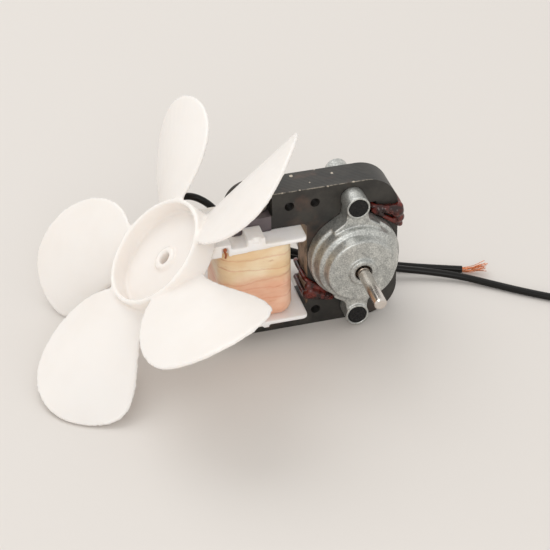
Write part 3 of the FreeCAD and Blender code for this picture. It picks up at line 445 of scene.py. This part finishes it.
film = Finish("coil tape", linear(236, 205, 162), roughness=0.30)
along, depth, height = film.parts(film.place())
waver = (film.noise(60) - 0.5) * change_waver
soaked = 1 - film.between(height + waver, tape_change - change_below, tape_change + change_above)
patchy = film.noise(75, roughness=0.5, stretch=(1, 1, 1.8))
yellow = film.blend(film.between(patchy, 0.35, 0.7), yellow_dark, yellow_pale)
pink = film.blend(film.between(patchy, 0.35, 0.7), pink_dark, pink_pale)
wall = film.blend(soaked, yellow, pink)
streak = film.between(film.noise(150, detail=4.0, roughness=0.6, stretch=(1, 1, 3.6)), 0.60, 0.74)
stained = film.blend(streak * 0.5, wall, stain_brown)
lines = 0
for level, slope, width in creases:
    away = height - level - (along - coil_middle) * slope - (film.noise(90, detail=4.0) - 0.5) * crease_waver
    lines = film.most(lines, 1 - film.between((away * away) ** 0.5, width * 0.3, width * 1.6))
# The crease lines are painted shade, darker red along each crease.
film.give("Base Color", film.blend(lines * 0.26, stained, crease_shade_red))
slack = film.noise(110, roughness=0.5, stretch=(0.5, 0.5, 3.4))
film.bump(slack - lines * 0.06, depth=0.0012, strength=0.6)
dress(film, nodes["coil_tape_wrap"])

# Shading rings: closed loops of thick copper wire through a slot in each pole, which turn the
# motor's field. They are coated in glossy brown red varnish, which hangs on them in lumps.
ring_voxel = 0.00028
ring_smoothing = 14
ring_lump = 0.00022
ring_grain = 300
ring_drops = {
    "upper": [(0.0100, -0.0079, 0.0480, 0.0013), (0.0125, -0.0079, 0.0480, 0.0017),
              (0.0148, -0.0077, 0.0474, 0.0020), (0.0172, -0.0076, 0.0462, 0.0025),
              (0.0182, -0.0070, 0.0430, 0.0021), (0.0184, -0.0044, 0.0446, 0.0019),
              (0.0185, -0.0005, 0.0455, 0.0016), (0.0180, -0.0072, 0.0478, 0.0017),
              (0.0183, -0.0066, 0.0405, 0.0015)],
    "lower": [(-0.0100, -0.0079, 0.0134, 0.0014), (-0.0122, -0.0079, 0.0140, 0.0018),
              (-0.0144, -0.0078, 0.0150, 0.0020), (-0.0164, -0.0076, 0.0162, 0.0020),
              (-0.0176, -0.0074, 0.0184, 0.0015), (-0.0180, -0.0066, 0.0145, 0.0015)],
}
ring_black = linear(36, 11, 8)
ring_red = linear(106, 34, 24)

ring_varnish = Finish("varnished copper", linear(96, 34, 22), roughness=0.24, metallic=0.1,
                      Coat_Weight=0.2, Coat_Roughness=0.08)
thin = ring_varnish.between(ring_varnish.noise(300, detail=2.0), 0.35, 0.7)
ring_varnish.give("Base Color", ring_varnish.blend(thin, ring_black, ring_red))
ring_varnish.bump(ring_varnish.noise(420, detail=2.0), depth=0.0001, strength=0.3)
for level, drops in ring_drops.items():
    pair = ["shading_ring_%s_%d" % (level, number) for number in (1, 2)]
    rings = melted("shading_rings_" + level, pair, ring_voxel, ring_smoothing, ring_lump, ring_grain, drops)
    dress(ring_varnish, rings)
    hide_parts(*pair)
    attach(rings, "motor")

# Bearing brackets: two zinc die castings, front and rear, that carry the bearings and the screw ears.
# The skin is bare, dull and grainy.
bracket_voxel = 0.00035
bracket_smoothing = 2
zinc_dark = linear(146, 148, 146)
zinc_pale = linear(218, 219, 214)
zinc = Finish("die cast zinc", linear(186, 188, 184), roughness=0.40, metallic=0.75)
grain = zinc.noise(1900, roughness=0.7)
coarse = zinc.noise(620, detail=4.0, roughness=0.65)
cloud = zinc.noise(150, detail=4.0, roughness=0.6)
skin = cloud * 0.3 + coarse * 0.22 + grain * 0.48
zinc.give("Base Color", zinc.blend(zinc.between(skin, 0.36, 0.64), zinc_dark, zinc_pale))
zinc.give("Roughness", 0.24 + coarse * 0.2)
zinc.bump(coarse * 0.4 + grain * 0.6, depth=0.0002, strength=0.6)
for side in ("front", "rear"):
    casting = melted(side + "_casting", [side + "_bracket"], bracket_voxel, bracket_smoothing)
    dress(zinc, casting)
    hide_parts(side + "_bracket")
    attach(casting, "motor")

# Bearings: sintered bronze balls that swivel in the brackets, each with an oiled felt ring round it
# and a thin spring steel washer that presses it into its socket. Oil has turned them dark.
bronze = Finish("sintered bronze", linear(74, 54, 38), roughness=0.5, metallic=0.5)
bronze.bump(bronze.noise(1600), depth=0.0001, strength=0.5)
dress(bronze, nodes["front_bearing"], nodes["rear_bearing"])
felt = Finish("oiled felt", linear(190, 176, 146), roughness=0.9)
felt.bump(felt.noise(1200), depth=0.0003, strength=0.8)
dress(felt, nodes["front_oil_felt"], nodes["rear_oil_felt"])
spring = Finish("spring steel", linear(150, 150, 152), roughness=0.3, metallic=0.9)
spring.bump(spring.noise(900), depth=0.00005, strength=0.3)
dress(spring, nodes["front_bearing_retainer"], nodes["rear_bearing_retainer"])

# Rotor: a stack of bare steel discs on the shaft, with a cast aluminium cage of bars and end rings,
# and a fibre washer at each side to take the thrust.
rotor_steel = Finish("rotor steel", linear(120, 118, 116), roughness=0.4, metallic=0.9)
rotor_steel.bump(rotor_steel.noise(700), depth=0.0001, strength=0.3)
dress(rotor_steel, nodes["rotor_laminations"])
cage = Finish("cast aluminium", linear(196, 198, 200), roughness=0.4, metallic=0.9)
cage.bump(cage.noise(800), depth=0.0001, strength=0.4)
dress(cage, nodes["rotor_cage"])
fibre = Finish("pressed fibre", linear(120, 84, 56), roughness=0.7)
fibre.bump(fibre.noise(1200), depth=0.0001, strength=0.4)
dress(fibre, nodes["front_thrust_washer"], nodes["rear_thrust_washer"])

# Shaft: ground steel, pressed through the rotor, with a chamfered free end for the fan.
# Fine turning marks run round it.
steel_bright = linear(218, 211, 204)
steel_stained = linear(176, 160, 146)
ground = Finish("ground steel", linear(214, 206, 198), roughness=0.2, metallic=1.0)
marks = ground.noise(260, roughness=0.6, stretch=(1, 10, 1))
stains = ground.between(ground.noise(120, detail=4.0), 0.5, 0.75)
ground.give("Base Color", ground.blend(stains, steel_bright, steel_stained))
ground.give("Roughness", 0.16 + marks * 0.10)
ground.bump(marks, depth=0.00002, strength=0.3)
dress(ground, nodes["shaft"])

# Screws: two long black screws clamp both brackets to the frame. One small plated screw with a
# cross recess sits in the pocket at the coil's corner.
corner_voxel = 0.0002
corner_smoothing = 5
corner_low, corner_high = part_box("corner_screw")
corner_centre = (corner_low + corner_high) / 2
corner_centre.y = corner_low.y
cross_length = 0.0032
cross_width = 0.0008
cross_depth = 0.0018
blacking = Finish("black screw", linear(7, 7, 8), roughness=0.22, Specular_IOR_Level=0.3)
blacking.give("Roughness", 0.1 + blacking.noise(900) * 0.2)
blacking.bump(blacking.noise(420, detail=2.0) * 0.7 + blacking.noise(1700) * 0.3, depth=0.0016, strength=1.0)
dress(blacking, nodes["bracket_screws"])
plating = Finish("plated screw", linear(176, 170, 158), roughness=0.3, metallic=0.85)
plating.bump(plating.noise(900), depth=0.0001, strength=0.4)
corner_screw = melted("corner_screw_head", ["corner_screw"], corner_voxel, corner_smoothing)
for wide, tall in ((cross_length, cross_width), (cross_width, cross_length)):
    slit_mesh = bpy.data.meshes.new("slit")
    shape = bmesh.new()
    bmesh.ops.create_cube(shape, size=1, matrix=Matrix.Translation(corner_centre)
                          @ Matrix.Diagonal((wide, cross_depth, tall, 1)))
    shape.to_mesh(slit_mesh)
    shape.free()
    slit = bpy.data.objects.new("slit", slit_mesh)
    bpy.context.scene.collection.objects.link(slit)
    recess = corner_screw.modifiers.new("recess", "BOOLEAN")
    recess.operation = "DIFFERENCE"
    recess.solver = "EXACT"
    recess.object = slit
    settle(corner_screw)
    bpy.data.objects.remove(slit)
dress(plating, corner_screw)
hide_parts("corner_screw")
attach(corner_screw, "motor")

# Fan: one white plastic moulding, a bored cup with five broad blades, all with rounded edges and
# filled corners. It is off its shaft, stands on two blade tips and leans on the bobbin's rib.
fan_voxel = 0.00065
fan_smoothing = 3
fan_white = linear(241, 235, 230)
fan_shade = linear(236, 229, 223)
fan_piece = melted("fan_moulding", ["fan"], fan_voxel, fan_smoothing)
fan_plastic = Finish("fan plastic", linear(242, 238, 233), roughness=0.27, Subsurface_Weight=0.6,
                     Subsurface_Scale=0.003, Subsurface_Radius=milky_reach)
fan_cloud = fan_plastic.between(fan_plastic.noise(28), 0.4, 0.8)
fan_plastic.give("Base Color", fan_plastic.blend(fan_cloud, fan_white, fan_shade))
fan_plastic.bump(fan_plastic.noise(60, detail=2.0), depth=0.0003, strength=0.25)
dress(fan_plastic, fan_piece)
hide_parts("fan")
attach(fan_piece, "motor")

# Studio: a wide flat table covered in pale paper, a large soft lamp behind the motor at the left,
# a fainter one in front at the left, and an even pale light from all round.
table_reach = 3.0
lamp_aim = Vector((-0.03, 0, 0.02))
world_colour = (0.9, 0.89, 0.87, 1)
world_strength = 0.89
floor_mesh = bpy.data.meshes.new("table")
shape = bmesh.new()
bmesh.ops.create_grid(shape, x_segments=1, y_segments=1, size=table_reach)
shape.to_mesh(floor_mesh)
shape.free()
table = bpy.data.objects.new("table", floor_mesh)
bpy.context.scene.collection.objects.link(table)
table_paper = Finish("table paper", linear(221, 216, 211), roughness=0.9)
floor_mesh.materials.append(table_paper.material)


def lamp(name, place, width, power):
    data = bpy.data.lights.new(name, "AREA")
    data.shape = "DISK"
    data.size = width
    data.energy = power
    made = bpy.data.objects.new(name, data)
    bpy.context.scene.collection.objects.link(made)
    made.location = place
    made.rotation_euler = (lamp_aim - Vector(place)).to_track_quat("-Z", "Y").to_euler()


lamp("key", (-0.35, 0.75, 1.25), width=1.3, power=6.2)
lamp("front", (-0.35, -1.15, 0.75), width=0.9, power=4.4)
world = bpy.data.worlds.new("studio")
world.use_nodes = True
background = world.node_tree.nodes["Background"]
background.inputs["Color"].default_value = world_colour
background.inputs["Strength"].default_value = world_strength
bpy.context.scene.world = world
bpy.context.scene.view_settings.view_transform = "Standard"
